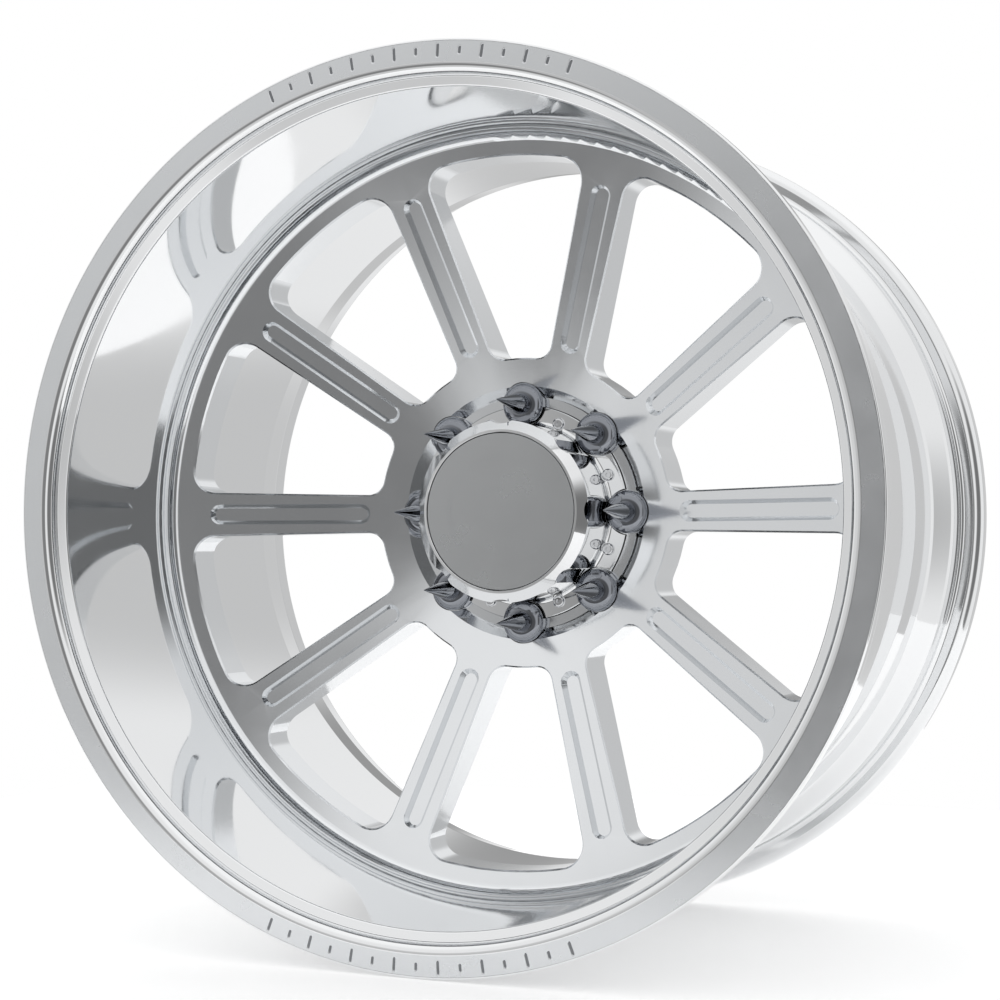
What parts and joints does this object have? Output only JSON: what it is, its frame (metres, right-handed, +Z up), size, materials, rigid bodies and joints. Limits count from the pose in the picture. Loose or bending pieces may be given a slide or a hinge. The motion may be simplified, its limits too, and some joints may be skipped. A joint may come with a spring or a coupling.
{
  "type": "forged truck wheel",
  "caption": "Deep-lip forged wheel: rolled barrel with a ten-spoke centre welded in, screwed-on centre cap, spiked covers over the lug nuts, and a clamp-in valve.",
  "frame": {"origin": "on the wheel's axis, in the plane of the pad that bolts against the vehicle's hub: the centre of the lug hole circle", "axes": "+Y along the wheel's axis towards the vehicle, street side towards -Y; +Z up; +X to the right as seen from the street side, through lug nut 1 and one spoke; the tyre valve is on the -X side"},
  "size_m": [0.6489, 0.392, 0.649],
  "materials": {
    "polished_aluminium": "mirror polished forged aluminium",
    "satin_aluminium": "fine brushed forged aluminium, polished at the edges",
    "weld_aluminium": "dressed aluminium weld",
    "polished_cap": "mirror polished billet aluminium",
    "satin_badge": "straight brushed aluminium",
    "screw_steel": "polished stainless steel",
    "plated_steel": "zinc plated steel",
    "chrome_cover": "chrome plated",
    "chrome_spike": "chrome plated",
    "nickel_brass": "nickel plated brass",
    "bare_brass": "bare brass",
    "spring_steel": "drawn spring wire",
    "black_rubber": "moulded rubber",
    "valve_cap_metal": "knurled, plated"
  },
  "bodies": {
    "root": {"rim_barrel": "polished_aluminium", "forged_centre": "satin_aluminium", "weld_bead": "weld_aluminium", "cap_gasket": "black_rubber", "cap_body": "polished_cap", "badge_ring": "black_rubber", "cap_badge": "satin_badge", "cap_screw_1": "screw_steel", "cap_screw_2": "screw_steel", "cap_screw_3": "screw_steel", "cap_screw_4": "screw_steel", "cap_screw_5": "screw_steel", "cap_screw_6": "screw_steel", "cap_screw_7": "screw_steel", "cap_screw_8": "screw_steel", "valve_stem": "nickel_brass", "valve_grommet": "black_rubber", "valve_washer": "plated_steel", "valve_nut": "plated_steel", "valve_core": "bare_brass", "valve_spring": "spring_steel"},
    "nut_1": {"lug_nut_1": "plated_steel"},
    "cover_1": {"lug_cover_1": "chrome_cover", "lug_spike_1": "chrome_spike"},
    "nut_2": {"lug_nut_2": "plated_steel"},
    "cover_2": {"lug_cover_2": "chrome_cover", "lug_spike_2": "chrome_spike"},
    "nut_3": {"lug_nut_3": "plated_steel"},
    "cover_3": {"lug_cover_3": "chrome_cover", "lug_spike_3": "chrome_spike"},
    "nut_4": {"lug_nut_4": "plated_steel"},
    "cover_4": {"lug_cover_4": "chrome_cover", "lug_spike_4": "chrome_spike"},
    "nut_5": {"lug_nut_5": "plated_steel"},
    "cover_5": {"lug_cover_5": "chrome_cover", "lug_spike_5": "chrome_spike"},
    "nut_6": {"lug_nut_6": "plated_steel"},
    "cover_6": {"lug_cover_6": "chrome_cover", "lug_spike_6": "chrome_spike"},
    "nut_7": {"lug_nut_7": "plated_steel"},
    "cover_7": {"lug_cover_7": "chrome_cover", "lug_spike_7": "chrome_spike"},
    "nut_8": {"lug_nut_8": "plated_steel"},
    "cover_8": {"lug_cover_8": "chrome_cover", "lug_spike_8": "chrome_spike"},
    "valve_cap": {"valve_cap": "valve_cap_metal"},
    "valve_pin": {"valve_pin": "bare_brass"}
  },
  "joints": [
    {"name": "nut_1_turn", "type": "hinge", "parent": "root", "child": "nut_1", "pos_m": [0.085, -0.032, 0], "axis": [0, -1, 0], "continuous": true},
    {"name": "cover_1_pull", "type": "slide", "parent": "nut_1", "child": "cover_1", "axis": [0, -1, 0], "range_m": [0, 0.012]},
    {"name": "nut_2_turn", "type": "hinge", "parent": "root", "child": "nut_2", "pos_m": [0.0601, -0.032, 0.0601], "axis": [0, -1, 0], "continuous": true},
    {"name": "cover_2_pull", "type": "slide", "parent": "nut_2", "child": "cover_2", "axis": [0, -1, 0], "range_m": [0, 0.012]},
    {"name": "nut_3_turn", "type": "hinge", "parent": "root", "child": "nut_3", "pos_m": [0, -0.032, 0.085], "axis": [0, -1, 0], "continuous": true},
    {"name": "cover_3_pull", "type": "slide", "parent": "nut_3", "child": "cover_3", "axis": [0, -1, 0], "range_m": [0, 0.012]},
    {"name": "nut_4_turn", "type": "hinge", "parent": "root", "child": "nut_4", "pos_m": [-0.0601, -0.032, 0.0601], "axis": [0, -1, 0], "continuous": true},
    {"name": "cover_4_pull", "type": "slide", "parent": "nut_4", "child": "cover_4", "axis": [0, -1, 0], "range_m": [0, 0.012]},
    {"name": "nut_5_turn", "type": "hinge", "parent": "root", "child": "nut_5", "pos_m": [-0.085, -0.032, 0], "axis": [0, -1, 0], "continuous": true},
    {"name": "cover_5_pull", "type": "slide", "parent": "nut_5", "child": "cover_5", "axis": [0, -1, 0], "range_m": [0, 0.012]},
    {"name": "nut_6_turn", "type": "hinge", "parent": "root", "child": "nut_6", "pos_m": [-0.0601, -0.032, -0.0601], "axis": [0, -1, 0], "continuous": true},
    {"name": "cover_6_pull", "type": "slide", "parent": "nut_6", "child": "cover_6", "axis": [0, -1, 0], "range_m": [0, 0.012]},
    {"name": "nut_7_turn", "type": "hinge", "parent": "root", "child": "nut_7", "pos_m": [0, -0.032, -0.085], "axis": [0, -1, 0], "continuous": true},
    {"name": "cover_7_pull", "type": "slide", "parent": "nut_7", "child": "cover_7", "axis": [0, -1, 0], "range_m": [0, 0.012]},
    {"name": "nut_8_turn", "type": "hinge", "parent": "root", "child": "nut_8", "pos_m": [0.0601, -0.032, -0.0601], "axis": [0, -1, 0], "continuous": true},
    {"name": "cover_8_pull", "type": "slide", "parent": "nut_8", "child": "cover_8", "axis": [0, -1, 0], "range_m": [0, 0.012]},
    {"name": "valve_cap_turn", "type": "hinge", "parent": "root", "child": "valve_cap", "pos_m": [-0.26, -0.0092, 0], "axis": [1, 0, 0], "continuous": true},
    {"name": "valve_pin_press", "type": "slide", "parent": "root", "child": "valve_pin", "axis": [-1, 0, 0], "range_m": [0, 0.001], "stiffness_N_per_m": 1500, "springref_m": -0.001}
  ]
}
